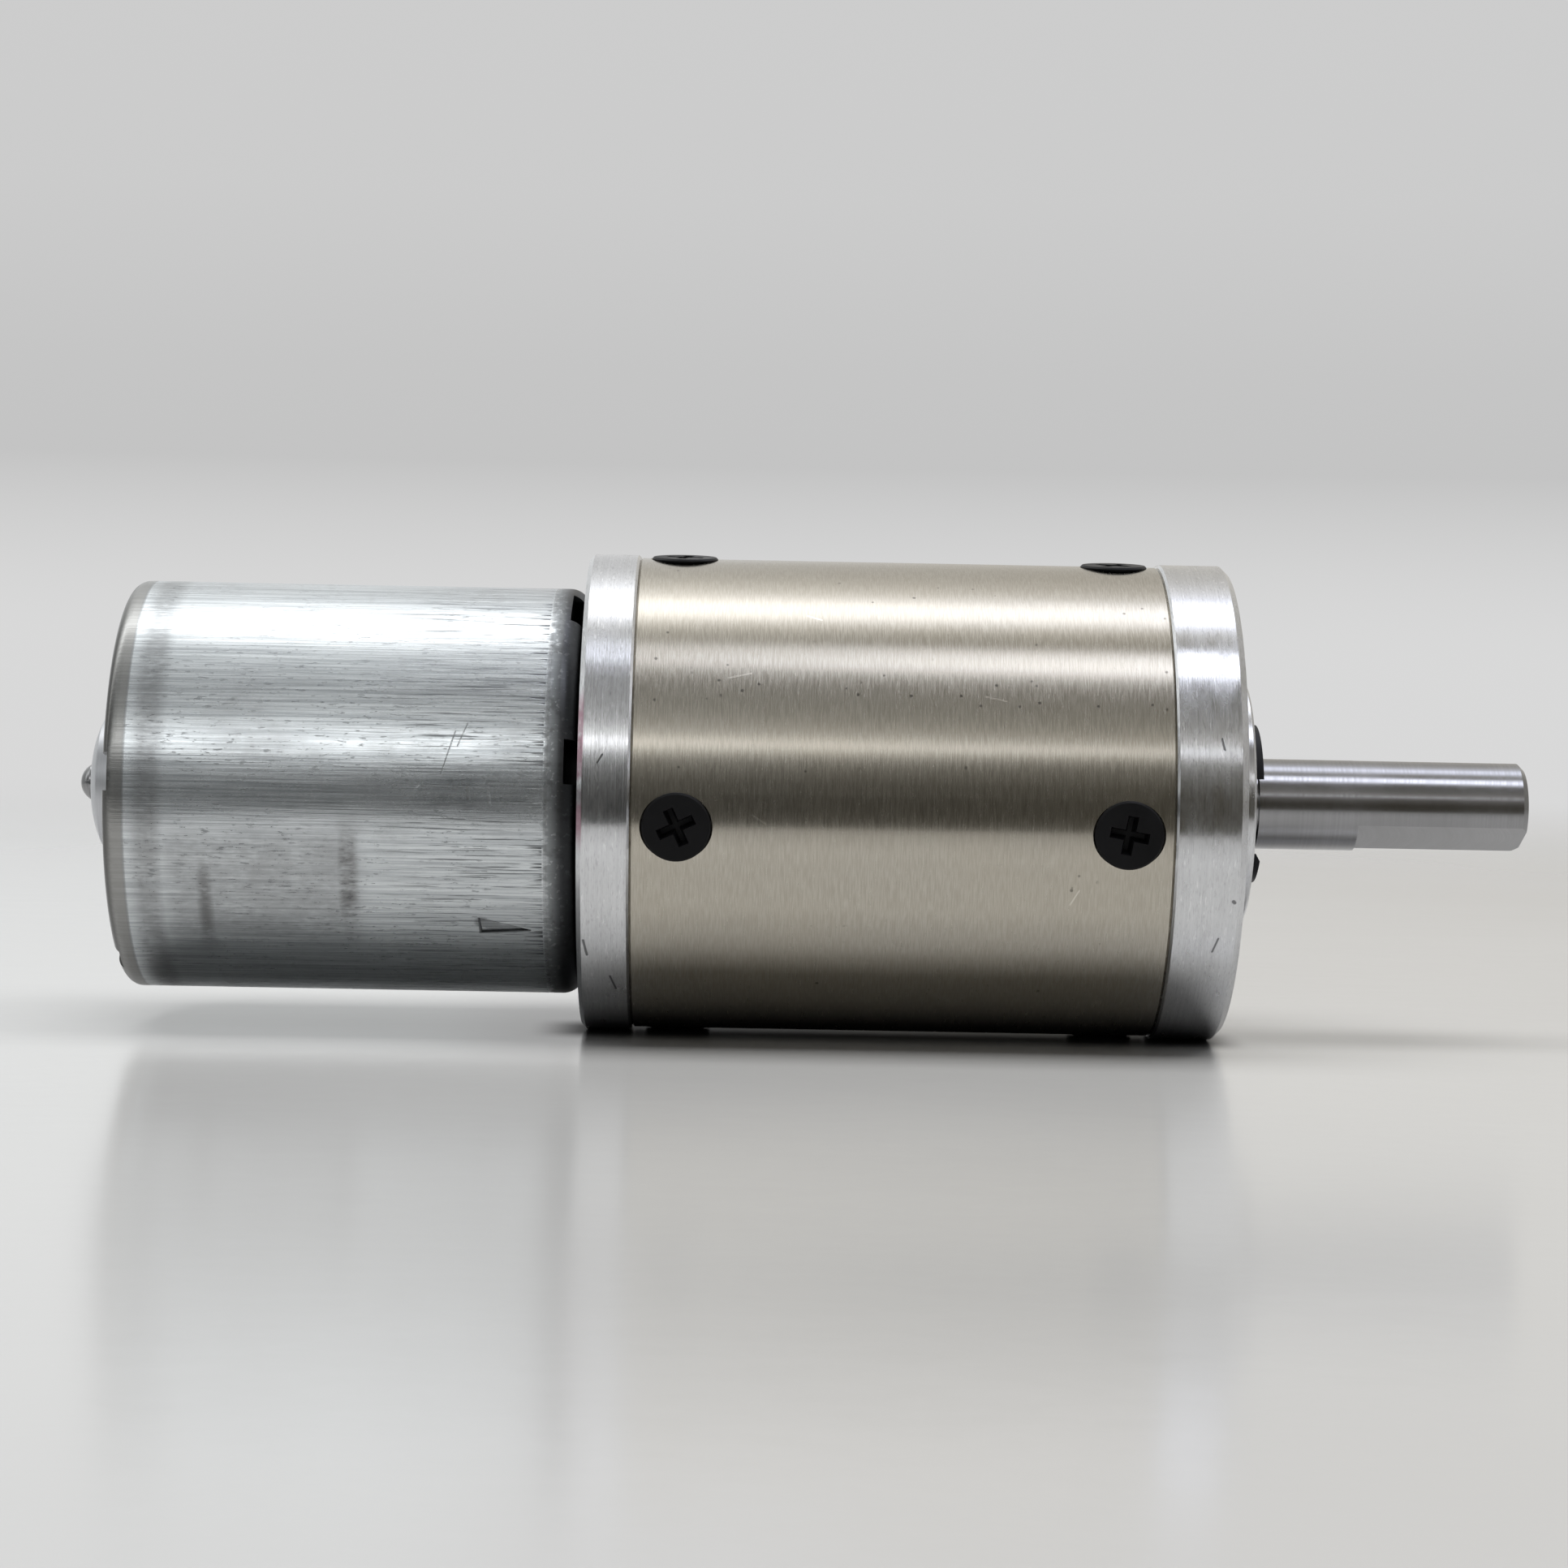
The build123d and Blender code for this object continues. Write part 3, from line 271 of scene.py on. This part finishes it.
def flange_aluminium():
    """Turned aluminium: fine tool lines round the axis, with small pits, nicks and a stain."""
    g = Finish("flange_aluminium")
    along, turn, arc = g.unrolled(FLANGE_R)
    deep, pale, dull_grey = (0.57, 0.575, 0.585), (0.78, 0.785, 0.795), (0.55, 0.55, 0.555)
    rubbed, bare, pink = (0.38, 0.38, 0.385), (0.92, 0.925, 0.93), (0.36, 0.16, 0.22)

    fine = g.turned(7000)
    dull = g.stretched(700, 260, 4, 0.65)
    scuff = g.stretched(9000, 1400, 3, 0.65)
    fresh = g.stretched(5200, 900, 2, 0.6)
    pits = g.times(g.dots(480, 0.05, 0.10), g.fade(g.noise(g.pos, 300, 1, 0.5), 0.60, 0.66))
    nicks = g.scratches(along, arc, [
        ((-2.3, 6.2), (-2.1, 5.3), 0.12),
        ((-1.0, -7.6), (-0.9, -7.7), 0.20),
        ((-2.0, -11.2), (-2.4, -12.6), 0.11),
        ((-55.3, -12.6), (-55.0, -14.2), 0.14),
        ((-53.1, -16.8), (-52.6, -18.6), 0.12),
        ((-54.2, 3.2), (-53.8, 3.9), 0.10),
    ])
    # only on the input flange's rear chamfer, not on its back face
    stain = g.times(
        g.band(along, -56.4, -55.45, 0.06), g.band(turn, -9, 24, 4),
        g.fade(g.noise(g.pos, 420, 3, 0.6), 0.30, 0.55), g.fade(g.radius(), 20.1 * MM, 20.4 * MM))
    colour = g.cover(
        g.mix(fine, deep, pale),
        (g.fade(dull, 0.45, 0.72, 0, 0.35), dull_grey),
        (g.fade(scuff, 0.52, 0.68, 0, 0.4), rubbed),
        (g.fade(fresh, 0.62, 0.70, 0, 0.5), bare),
        (g.times(pits, 0.5), 0.20),
        (g.times(nicks, 0.8), (0.10, 0.10, 0.105)),
        (g.times(stain, 0.75), pink),
    )
    height = g.minus(g.total(fine, g.times(scuff, 0.6)), g.times(nicks, 4))
    g.brushed(0.78)
    return g.finish(colour, g.fade(dull, 0.3, 0.75, 0.17, 0.29), (height, 0.3, 20 * MICRON))


def can_zinc():
    """Zinc plate over drawn steel: streaks along the axis, ticks at the drive end, and smudges."""
    g = Finish("can_zinc")
    along, turn, arc = g.unrolled(CAN_R)
    wall = g.band(along, CAN_REAR, CAN_FRONT, 0.12)
    deep, pale, drawn = (0.50, 0.53, 0.545), (0.80, 0.835, 0.85), (0.42, 0.44, 0.46)
    # the last of these colours is painted shade for the drive end's rounded edge
    dulled, dirt, edge_shade = (0.42, 0.43, 0.435), (0.10, 0.105, 0.11), (0.27, 0.285, 0.29)

    streak = g.stretched(70, 5200, 3, 0.65)
    slow = g.stretched(35, 620, 4, 0.65)
    cloud = g.stretched(160, 130, 4, 0.65)
    mottle = g.stretched(900, 4200, 3, 0.65)

    # thin dark lines that thicken towards the drive end
    drive_half = g.fade(along, -76, -66)
    lines = g.times(g.fade(g.stretched(150, 6500, 2, 0.6), 0.58, 0.64), drive_half, wall)

    # ticks that start at the drive end's edge and reach different lengths back
    ticks_from = -58.9
    reach = g.times(g.total(along, -ticks_from), -0.085)
    ticks = g.times(
        g.fade(g.minus(g.stretched(160, 5600, 2, 0.6), reach), 0.52, 0.58),
        g.band(along, -62, ticks_from, 0.06),
        g.fade(g.stretched(20, 420, 2, 0.5), 0.3, 0.5, 0.3, 1.0))

    flecks = g.times(
        g.fade(mottle, 0.58, 0.66), wall,
        g.fade(g.stretched(110, 110, 2, 0.5), 0.35, 0.6, 0.25, 1.0))

    # a dull ring near the rear rim, and smudges: along from, to, soft edge; turn from, to, soft
    # edge; strength
    smudge = g.times(g.band(along, -93.2, -91.0, 0.7), 0.42)
    for back, front, soft, low, high, soft_turn, strength in (
        (-88.1, -86.6, 0.7, -46, -18, 10, 0.70),
        (-76.1, -74.4, 0.6, -38, -10, 9, 0.72),
        (-90.5, -74.3, 1.2, -44, -10, 5, 0.34),
    ):
        patch = g.times(g.band(along, back, front, soft), g.band(turn, low, high, soft_turn), strength)
        smudge = g.highest(smudge, patch)
    patchy = g.times(g.stretched(420, 420, 3, 0.7), g.fade(mottle, 0.3, 0.6, 0.7, 1.2))
    smudge = g.times(smudge, g.fade(patchy, 0.18, 0.62, 0.5, 1.3))

    scores = g.times(g.scratches(along, arc, [
        ((-67.4, 1.9), (-66.3, 5.6), 0.07),
        ((-66.1, 4.3), (-65.3, 6.3), 0.06),
        ((-69.6, 0.6), (-68.9, 1.3), 0.07),
        ((-71.9, 2.3), (-70.9, 1.8), 0.07),
        ((-63.4, 0.4), (-63.25, -0.6), 0.14),
        ((-65.1, 0.8), (-65.0, -0.1), 0.12),
    ]), g.fade(mottle, 0.4, 0.55, 0.3, 1.0))
    scuffed = g.times(
        g.band(along, -72, -59.5, 2.0), g.band(arc, -1.6, 2.2, 0.8),
        g.fade(g.stretched(900, 2600, 3, 0.7), 0.53, 0.66))
    grime = g.highest(
        g.times(lines, 0.7), g.times(ticks, 0.92), g.times(flecks, 0.5),
        g.times(scores, 0.5), g.times(scuffed, 0.6))

    # the drive end's rounded edge is duller, rougher with less relief, and gets painted shade with a
    # ragged border and darker blotches
    ragged = g.total(along, g.fade(g.stretched(500, 1500, 2, 0.6), 0.3, 0.7, -0.25, 0.25))
    satin_and_shade = g.fade(ragged, -58.9, -58.4)
    blotches = g.times(satin_and_shade, g.fade(g.stretched(900, 900, 3, 0.6), 0.5, 0.7, 0, 0.5))
    # small painted highlights on the drive end's rounded edge
    painted_glints = g.times(satin_and_shade, g.fade(g.stretched(2400, 2400, 2, 0.5), 0.60, 0.68, 0, 0.5))

    # painted shade in the stamped mark, heavier along its edges
    stamp_shade = g.highest(
        g.times(g.scratches(along, arc, [
            ((-64.1, -11.5), (-62.9, -12.15), 0.75),
            ((-63.2, -12.05), (-61.3, -12.3), 0.42),
        ]), 0.6),
        g.scratches(along, arc, [
            ((-64.2, -12.65), (-60.0, -12.33), 0.16),
            ((-64.25, -11.1), (-60.2, -12.27), 0.14),
            ((-64.28, -11.1), (-64.15, -12.6), 0.16),
        ]))
    # the drive end's face in the flange's shade, then the rims of both ends
    end_face = g.times(
        g.fade(g.radius(), 17.4 * MM, 17.1 * MM), g.fade(along, -57.75, -57.65))
    rear_rim = g.fade(along, -94.2, -93.9, 1, 0)
    edges = g.highest(g.band(along, -94.15, -93.95, 0.06), g.band(along, -58.8, -58.5, 0.08))

    colour = g.cover(
        g.mix(g.fade(streak, 0.32, 0.68), deep, pale),
        (g.fade(slow, 0.5, 0.78, 0, 0.5), drawn),
        (g.fade(cloud, 0.52, 0.75, 0, 0.4), dulled),
        (g.times(g.band(turn, -34, -4, 7), 0.16), 0.25),
        (smudge, 0.20),
        (grime, dirt),
        # painted shade over the drive end's rounded edge
        (g.times(satin_and_shade, 0.88), edge_shade),
        (blotches, 0.12),
        # painted highlights
        (painted_glints, (0.75, 0.77, 0.78)),
        # painted shade, near black towards the flange
        (g.fade(along, -58.8, -57.2, 0, 0.9), (0.03, 0.03, 0.032)),
        # painted shade in the stamped mark
        (g.times(stamp_shade, 0.8), (0.06, 0.06, 0.062)),
        (end_face, 0.01),
        (g.times(rear_rim, 0.8), (0.27, 0.262, 0.245)),
        (g.fade(along, -95.6, -95.0, 0.75, 0), (0.07, 0.068, 0.065)),
        (g.times(edges, 0.35), 0.16),
    )
    rough = g.total(
        g.fade(cloud, 0.3, 0.7, 0.19, 0.26), g.times(grime, 0.2), g.times(satin_and_shade, 0.16))
    height = g.total(g.times(streak, g.minus(1, satin_and_shade)), g.times(mottle, 0.25))
    height = g.minus(height, g.times(g.highest(ticks, scores), 0.8))
    g.brushed(0.3, round_axis=False)
    return g.finish(colour, rough, (height, 0.35, 30 * MICRON))


def plain_metal(name, low, high, rough_low, rough_high, clouds, lines_by):
    """Metal with a cloudy colour and roughness, and fine lines round the axis."""
    g = Finish(name)
    lines = g.turned(5000 * lines_by)
    cloud = g.noise(g.pos, clouds, 4, 0.6)
    colour = g.cover(g.mix(cloud, low, high), (g.fade(lines, 0.35, 0.65, 0, 0.3), low))
    both = g.total(g.times(cloud, 0.6), g.times(lines, 0.4))
    return g.finish(colour, g.fade(both, 0.3, 0.7, rough_low, rough_high), (lines, 0.2, 10 * MICRON))


def plain_solid(name, low, high, rough_low, rough_high, clouds, specular):
    """Moulded, sintered or blackened surface with a fine grain."""
    g = Finish(name)
    grain = g.noise(g.pos, clouds * 4, 3, 0.6)
    cloud = g.noise(g.pos, clouds, 4, 0.6)
    return g.finish(
        g.mix(cloud, low, high), g.fade(cloud, 0.3, 0.7, rough_low, rough_high),
        (grain, 0.3, 20 * MICRON), metallic=0.0, **{"Specular IOR Level": specular})


# slot: darkest and lightest colour, lowest and highest roughness, clouds per metre, density of
# the lines
PLAIN_METALS = {
    "cap_steel": ((0.50, 0.51, 0.53), (0.66, 0.67, 0.69), 0.24, 0.40, 120, 1.0),
    "shaft_steel": ((0.25, 0.25, 0.25), (0.38, 0.38, 0.39), 0.14, 0.24, 120, 1.0),
    "bearing_steel": ((0.62, 0.62, 0.64), (0.72, 0.72, 0.74), 0.12, 0.22, 120, 1.0),
    "gear_steel": ((0.34, 0.33, 0.32), (0.48, 0.47, 0.46), 0.28, 0.45, 400, 1.0),
    "spring_steel": ((0.42, 0.42, 0.44), (0.56, 0.56, 0.58), 0.20, 0.34, 120, 1.0),
    "bronze": ((0.48, 0.32, 0.16), (0.64, 0.46, 0.25), 0.30, 0.45, 600, 1.0),
    "terminal_brass": ((0.66, 0.54, 0.28), (0.80, 0.69, 0.40), 0.20, 0.36, 300, 1.0),
    "copper": ((0.60, 0.28, 0.15), (0.76, 0.41, 0.25), 0.22, 0.36, 300, 0.4),
    "core_steel": ((0.28, 0.29, 0.31), (0.40, 0.41, 0.43), 0.30, 0.45, 200, 0.5),
}
# slot: darkest and lightest colour, lowest and highest roughness, clouds per metre, specular level
PLAIN_SOLIDS = {
    "black_oxide": ((0.003, 0.003, 0.0035), (0.010, 0.010, 0.011), 0.36, 0.52, 300, 0.16),
    "ferrite": ((0.03, 0.03, 0.032), (0.06, 0.06, 0.065), 0.45, 0.65, 500, 0.5),
    "black_plastic": ((0.010, 0.010, 0.011), (0.022, 0.022, 0.024), 0.40, 0.55, 400, 0.5),
    "carbon": ((0.02, 0.02, 0.02), (0.05, 0.045, 0.04), 0.50, 0.70, 900, 0.5),
}
materials = {
    "housing_nickel": housing_nickel(),
    "flange_aluminium": flange_aluminium(),
    "can_zinc": can_zinc(),
}
for build, table in ((plain_metal, PLAIN_METALS), (plain_solid, PLAIN_SOLIDS)):
    for name, row in table.items():
        materials[name] = build(name, *row)

slots = {part["node"]: part["material_slot"] for part in frame["record"]["subparts"]}
for name, obj in frame["nodes"].items():
    obj.data.materials.clear()
    obj.data.materials.append(materials[slots[name]])


# ---------------------------------------------------------------- floor
FLOOR_Z = -FLANGE_R * MM
FLOOR_HALF = 0.7     # metres, as are the rest
FLOOR_SPLIT = -0.10
FADE_START, FADE_END = 0.16, 0.62


def floor_material():
    """Pale glossy sheet that fades into the backdrop a few hundred millimetres away."""
    g = Finish("pale_floor")
    cloud = g.noise(g.pos, 9, 2, 0.5)
    ripple = g.total(g.noise(g.pos, 120, 2, 0.5), g.times(g.noise(g.pos, 900, 2, 0.5), 0.1))
    g.finish(
        g.mix(cloud, (0.60, 0.598, 0.592), (0.66, 0.658, 0.65)),
        g.fade(cloud, 0.3, 0.7, 0.15, 0.20), (ripple, 0.06, 400 * MICRON), metallic=0.0, IOR=1.55)

    # contact shade: a dark strip under the gearbox, just in front of the line that it stands on
    from_line = g.math("ABSOLUTE", g.total(g.y, 1.5 * MM))
    beneath = g.times(
        g.fade(g.x, -61 * MM, -55 * MM), g.fade(g.x, -2 * MM, 3 * MM, 1, 0))
    under = g.times(g.fade(from_line, 2 * MM, 9 * MM, 0.85, 0), beneath)
    shade = g.add("ShaderNodeBsdfDiffuse")
    g.put_colour(shade.inputs["Color"], 0.02)
    ground = g.mix_shader(under, g.bsdf.outputs[0], shade.outputs[0])

    away = g.fade(g.length(g.x, g.y), FADE_START, FADE_END)
    clear = g.add("ShaderNodeBsdfTransparent")
    g.link(g.mix_shader(away, ground, clear.outputs[0]), g.out.inputs["Surface"])
    return g.mat


def floor_piece(name, y0, y1, glossy, material):
    """A strip of floor from y0 to y1. It shows in reflections only if glossy is true."""
    mesh = bpy.data.meshes.new(name)
    corners = [(-FLOOR_HALF, y0), (FLOOR_HALF, y0), (FLOOR_HALF, y1), (-FLOOR_HALF, y1)]
    mesh.from_pydata([(x, y, FLOOR_Z) for x, y in corners], [], [(0, 1, 2, 3)])
    mesh.materials.append(material)
    obj = bpy.data.objects.new(name, mesh)
    scene.collection.objects.link(obj)
    obj.visible_glossy = glossy


# the strip towards the camera is left out of reflections, where the world's levels take its place
pale = floor_material()
floor_piece("floor_near", FLOOR_SPLIT, FLOOR_HALF, True, pale)
floor_piece("floor_far", -FLOOR_HALF, FLOOR_SPLIT, False, pale)


# ---------------------------------------------------------------- world
# camera rays see a plain backdrop, glossy rays a ring of soft boxes, and all others a dim grey
world = bpy.data.worlds.new("studio")
scene.world = world
world.use_nodes = True
world.cycles.sampling_method = "NONE"
sky = Nodes(world.node_tree, "Generated")
turn_up = sky.math("ARCTAN2", sky.z, sky.times(sky.y, -1))
elevation = sky.total(sky.times(turn_up, 1 / (2 * pi)), 0.5)
sideways = sky.math("ABSOLUTE", sky.x)


def ring(value, stops):
    """Level by elevation in degrees: 0 is level on the camera's side, 90 is straight up, and
    180 is level behind."""
    return sky.ramp(value, [((degrees + 180) / 360, level) for degrees, level in stops])


def background(colour, strength=1.0):
    node = sky.add("ShaderNodeBackground")
    sky.put_colour(node.inputs["Color"], colour)
    sky.put(node.inputs["Strength"], strength)
    return node.outputs[0]


around = ring(elevation, [
    (-180, 0.69), (-150, 0.30), (-60, 0.16), (-18, 0.03), (0, 0.01), (8, 0.02), (14, 0.045),
    (19, 0.07), (22.5, 0.22), (25, 1.2), (27, 1.2), (29.5, 0.58), (36, 0.38), (48, 0.27),
    (56, 0.22), (64, 0.26), (74, 0.36), (84, 0.48), (89, 0.66), (94, 1.15), (99, 2.1),
    (104, 2.6), (109, 2.3), (114, 1.5), (120, 1.12), (128, 0.92), (138, 0.76), (150, 0.70),
    (180, 0.69),
])
# a soft box that only the housing and the output flange mirror, a little lower at its right end
box_tilt, box_pivot = 0.07, 0.15
tilted = sky.total(elevation, sky.times(sky.minus(sky.x, box_pivot), box_tilt))
right_box = ring(tilted, [(-180, 0), (63, 0), (67, 3.8), (76, 3.4), (80, 0), (180, 0)])
right_box = sky.times(right_box, sky.fade(sky.x, -0.005, 0.11))
# a low fill to either side
low_fill = ring(elevation, [
    (-180, 0), (-30, 0), (-12, 0.11), (6, 0.11), (12, 0.17), (24, 0.17), (30, 0), (180, 0)])
low_fill = sky.times(low_fill, sky.fade(sideways, 0.05, 0.16))
# and one that only the motor mirrors
left_box = ring(elevation, [
    (-180, 0), (-4, 0), (4, 0.10), (12, 0.24), (18, 0.65), (22, 2.0), (28, 2.1), (33, 1.0),
    (42, 0.44), (60, 0.36), (82, 0.56), (94, 0.7), (120, 0.8), (132, 0), (180, 0)])
left_box = sky.times(
    left_box, sky.fade(sky.x, -0.08, -0.05, 1, 0), sky.fade(sky.x, -0.17, -0.09, 0.25, 1))
boxes = sky.total(right_box, low_fill, left_box)
level = sky.times(sky.total(around, boxes), sky.fade(sideways, 0.45, 0.9, 1.0, 0.55))

# what the housing mirrors is warm where dark and cool where bright; the motor's side is lighter
dim = sky.fade(level, 0.02, 0.30)
bright = sky.fade(level, 0.5, 1.8)


def tint_by_level(darkest, middle, brightest):
    return sky.mix(bright, sky.mix(dim, darkest, middle), brightest)


right_tint = tint_by_level((0.86, 0.77, 0.57), (0.86, 0.83, 0.765), (0.97, 1.0, 1.13))
left_tint = tint_by_level((1.30, 1.33, 1.33), (1.15, 1.17, 1.17), (1.0, 1.01, 1.02))
tint = sky.mix(sky.fade(sky.x, -0.09, -0.06, 1, 0), 1.0, left_tint)
tint = sky.mix(sky.fade(sky.x, -0.02, 0.06), tint, right_tint)

backdrop = sky.ramp(sky.fade(sky.z, 0.0, 0.2), [
    (0.0, 0.69), (0.06, 0.64), (0.17, 0.55), (0.35, 0.56), (0.7, 0.60), (1.0, 0.61)])
path = sky.add("ShaderNodeLightPath")
bounced = sky.mix_shader(
    path.outputs["Is Glossy Ray"], background((0.17, 0.17, 0.172)), background(tint, level))
surroundings = sky.mix_shader(path.outputs["Is Camera Ray"], bounced, background(backdrop))
sky.link(surroundings, sky.add("ShaderNodeOutputWorld").inputs["Surface"])


# ---------------------------------------------------------------- light and camera
def overhead_box(place, aim, width, depth, power):
    """A soft light that isn't mirrored, because the world's boxes are."""
    data = bpy.data.lights.new("overhead_box", "AREA")
    data.shape = "RECTANGLE"
    data.size = width
    data.size_y = depth
    data.energy = power
    obj = bpy.data.objects.new("overhead_box", data)
    obj.location = place
    obj.rotation_euler = (Vector(aim) - Vector(place)).to_track_quat("-Z", "Y").to_euler()
    obj.visible_glossy = False
    obj.visible_camera = False
    scene.collection.objects.link(obj)


def photo_camera(place, yaw, pitch, roll, lens):
    """A camera at a place in metres that looks along +Y, turned right by yaw and down by pitch."""
    forward = Vector((sin(yaw) * cos(pitch), cos(yaw) * cos(pitch), -sin(pitch)))
    right = Vector((cos(yaw), -sin(yaw), 0))
    up = right.cross(forward)
    right, up = cos(roll) * right + sin(roll) * up, -sin(roll) * right + cos(roll) * up
    obj = bpy.data.objects.new("camera", bpy.data.cameras.new("camera"))
    obj.data.lens = lens
    obj.data.sensor_width = 36
    obj.data.clip_start = 0.01
    obj.data.clip_end = 20
    rows = [(right[i], up[i], -forward[i], place[i]) for i in range(3)]
    obj.matrix_world = Matrix([*rows, (0, 0, 0, 1)])
    scene.collection.objects.link(obj)
    return obj


overhead_box(place=(-0.03, -0.05, 0.62), aim=(-0.03, 0.0, 0.0), width=0.9, depth=0.42, power=5.2)
scene.camera = photo_camera(
    place=(-41.20 * MM, -314.94 * MM, 12.46 * MM),
    yaw=radians(0.487), pitch=radians(2.09), roll=radians(1.095), lens=81.5)
